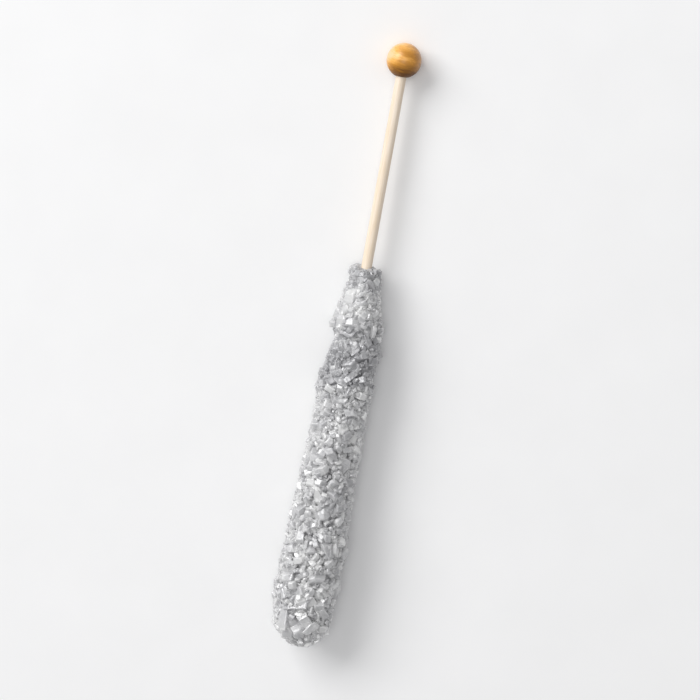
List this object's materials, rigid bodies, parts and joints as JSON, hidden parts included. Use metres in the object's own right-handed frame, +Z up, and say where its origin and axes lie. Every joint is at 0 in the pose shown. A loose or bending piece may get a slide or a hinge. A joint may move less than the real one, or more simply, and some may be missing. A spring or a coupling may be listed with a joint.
{
  "type": "rock candy stick",
  "caption": "Rock candy stick: silver-grey sugar crystals grown along one end of a thin wooden stick with a turned wooden ball on the other end, lying on its side.",
  "frame": {"origin": "centre of the bounding box's footprint, on the plane that the stick lies on", "axes": "+Z up, +X along the stick from the candy's blunt end towards the ball, +Y across it; the stick leans down 1.5 degrees towards the ball"},
  "size_m": [0.17, 0.0192, 0.0178],
  "materials": {
    "silver_sugar": "pearly silver-grey sugar crystals with glossy facets",
    "pale_wood": "plain sanded pale hardwood",
    "brown_wood": "golden brown wood with a satin lacquer"
  },
  "bodies": {
    "root": {"candy": "silver_sugar", "stick": "pale_wood", "ball": "brown_wood"}
  },
  "joints": []
}
